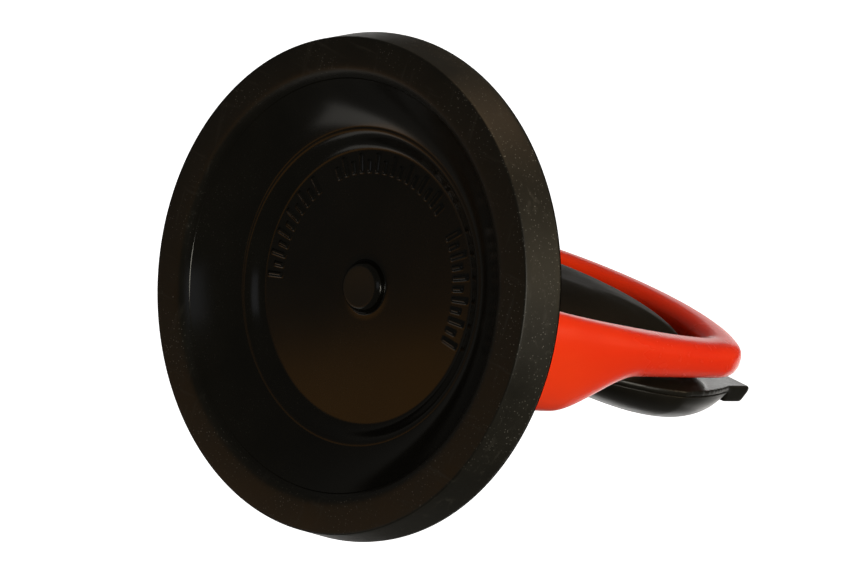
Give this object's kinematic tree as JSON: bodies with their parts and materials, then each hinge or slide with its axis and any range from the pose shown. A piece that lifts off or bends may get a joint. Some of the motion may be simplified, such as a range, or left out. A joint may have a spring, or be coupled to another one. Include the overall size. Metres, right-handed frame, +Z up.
{
  "type": "glass suction lifter",
  "caption": "Hand-held glass suction lifter: a rubber suction disc under an arched handle, drawn up by a cam lever that squeezes against the handle.",
  "frame": {"origin": "centre of the rubber disc's sealing face, which is also the middle of the part's underside", "axes": "+Z up along the disc's axis to the handle, X along the lever's pin, +Y on the lever's side"},
  "size_m": [0.12, 0.12, 0.1269],
  "materials": {
    "pad_rubber": "smooth near-black moulded rubber, glossy in the dish and dusty on the outer band",
    "handle_red": "glossy red-orange injection-moulded plastic",
    "lever_black": "semi-gloss black injection-moulded plastic",
    "steel": "plain turned and pressed steel",
    "fastener": "bright zinc-plated steel",
    "nylon": "natural nylon"
  },
  "bodies": {
    "housing": {"suction_pad": "pad_rubber", "handle_body": "handle_red", "stud_guide_bush": "nylon", "wear_plate": "steel", "wear_plate_screw_1": "fastener", "wear_plate_screw_2": "fastener", "wear_plate_screw_3": "fastener", "wear_plate_screw_4": "fastener"},
    "stud": {"core_plate": "steel", "pull_stud": "steel", "stud_washer": "steel", "stud_nut": "steel", "cam_pin": "steel", "pin_clip_left": "fastener", "pin_clip_right": "fastener", "pin_washer_left": "nylon", "pin_washer_right": "nylon"},
    "lever": {"lever_body": "lever_black", "grip_cover": "lever_black", "cover_screw_1": "fastener", "cover_screw_2": "fastener", "cover_screw_3": "fastener", "cover_screw_4": "fastener"}
  },
  "joints": [
    {"name": "stud_slide", "type": "slide", "parent": "housing", "child": "stud", "axis": [0, 0, 1], "range_m": [-0.00401, 0], "deforming": ["suction_pad"]},
    {"name": "lever_hinge", "type": "hinge", "parent": "stud", "child": "lever", "pos_m": [0, 0, 0.0406], "axis": [1, 0, 0], "range_deg": [-45, 0]}
  ],
  "couplings": [
    {"joint": "stud_slide", "follows": "lever_hinge", "m_per_rad": 0.005093}
  ]
}
